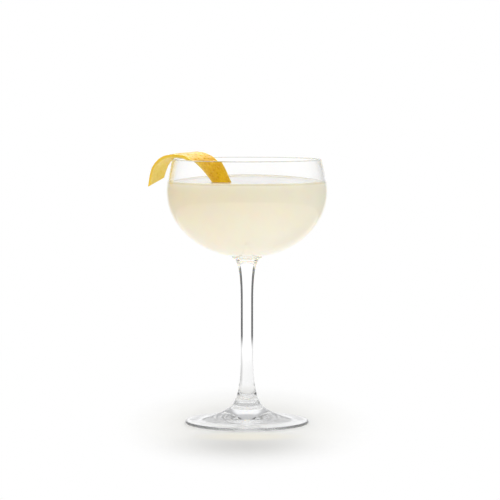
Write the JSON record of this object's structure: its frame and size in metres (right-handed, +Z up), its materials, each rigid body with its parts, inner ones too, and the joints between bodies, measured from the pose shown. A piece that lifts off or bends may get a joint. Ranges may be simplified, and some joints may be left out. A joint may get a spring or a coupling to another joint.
{
  "type": "martini cocktail in a coupe glass",
  "caption": "Cloudy pale lemon cocktail in a clear stemmed coupe glass with a twist of lemon peel hooked over the rim.",
  "frame": {"origin": "on the glass's axis, in the plane that the foot stands on", "axes": "+Z up the glass's axis, -X towards the side of the rim where the lemon twist hangs, -Y towards the front"},
  "size_m": [0.1123, 0.1004, 0.1711],
  "materials": {
    "clear_glass": "clear polished blown glass",
    "cloudy_drink": "cloudy pale lemon liquid with a wet surface",
    "lemon_peel": "pored waxy yellow zest outside, pale pith inside"
  },
  "bodies": {
    "root": {"glass": "clear_glass", "drink": "cloudy_drink", "lemon_twist": "lemon_peel"}
  },
  "joints": []
}
